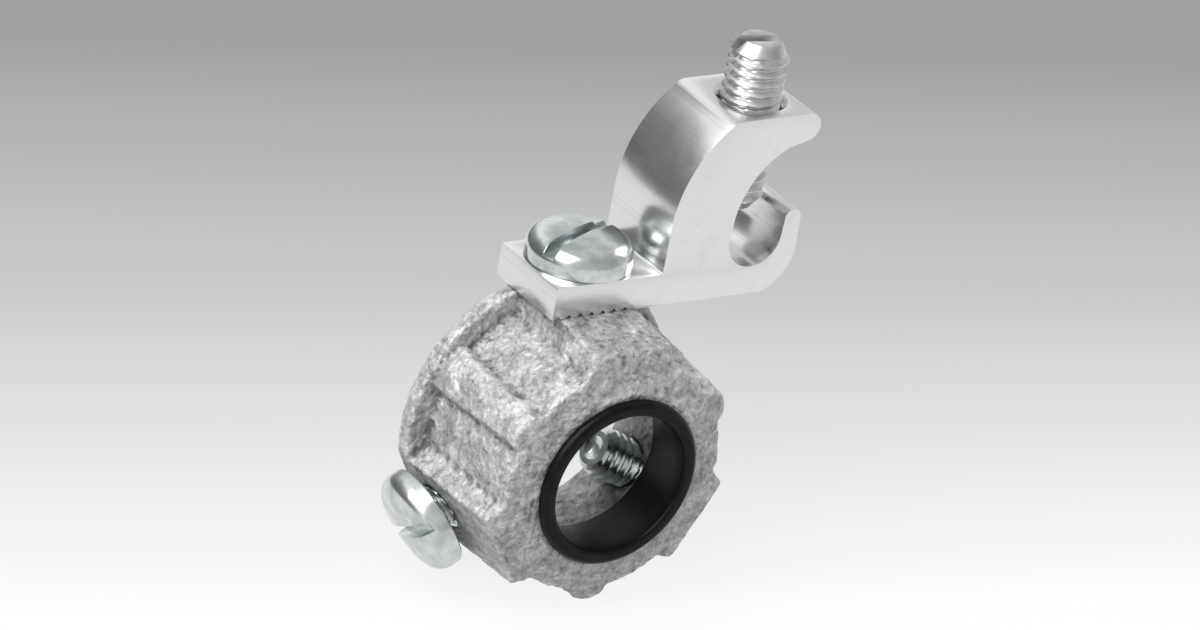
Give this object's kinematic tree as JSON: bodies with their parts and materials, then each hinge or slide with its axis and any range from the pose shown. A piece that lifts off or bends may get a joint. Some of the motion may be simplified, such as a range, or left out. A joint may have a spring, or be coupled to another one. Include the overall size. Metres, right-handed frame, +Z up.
{
  "type": "threadless grounding bushing",
  "caption": "Cast set-screw bushing that clamps on a conduit end, with an insulated throat and a swivelling lay-in lug for a grounding wire.",
  "frame": {"origin": "centre of the shoulder inside the socket that the conduit's end meets", "axes": "+Y back along the bore, the way the conduit leaves; +Z up through the lug's mounting screw; +X along the lug towards its wire cup"},
  "size_m": [0.0425, 0.0198, 0.058],
  "materials": {
    "casting": "rough cast, mottled hot-dip zinc",
    "liner": "black satin plastic",
    "lug": "bright extruded, saw-cut ends",
    "screws": "bright blue zinc plate",
    "clamp": "bright plate"
  },
  "bodies": {
    "bushing": {"bushing_body": "casting", "throat_liner": "liner"},
    "lug": {"lay_in_lug": "lug"},
    "lug_screw": {"lug_screw": "screws"},
    "clamp_screw": {"clamp_screw": "clamp"},
    "set_screw_left": {"set_screw_left": "screws"},
    "set_screw_right": {"set_screw_right": "screws"}
  },
  "joints": [
    {"name": "lug_swivel", "type": "hinge", "parent": "bushing", "child": "lug", "pos_m": [0, 0.0072, 0.0152], "axis": [0, 0, 1], "continuous": true},
    {"name": "lug_screw_slide", "type": "slide", "parent": "bushing", "child": "lug_screw", "axis": [0, 0, 1], "range_m": [0, 0.003]},
    {"name": "clamp_screw_slide", "type": "slide", "parent": "lug", "child": "clamp_screw", "axis": [0, 0, 1], "range_m": [-0.0035, 0.006]},
    {"name": "set_screw_left_slide", "type": "slide", "parent": "bushing", "child": "set_screw_left", "axis": [-0.866, 0, -0.5], "range_m": [-0.0005, 0.005]},
    {"name": "set_screw_right_slide", "type": "slide", "parent": "bushing", "child": "set_screw_right", "axis": [0.866, 0, -0.5], "range_m": [-0.0005, 0.005]}
  ]
}
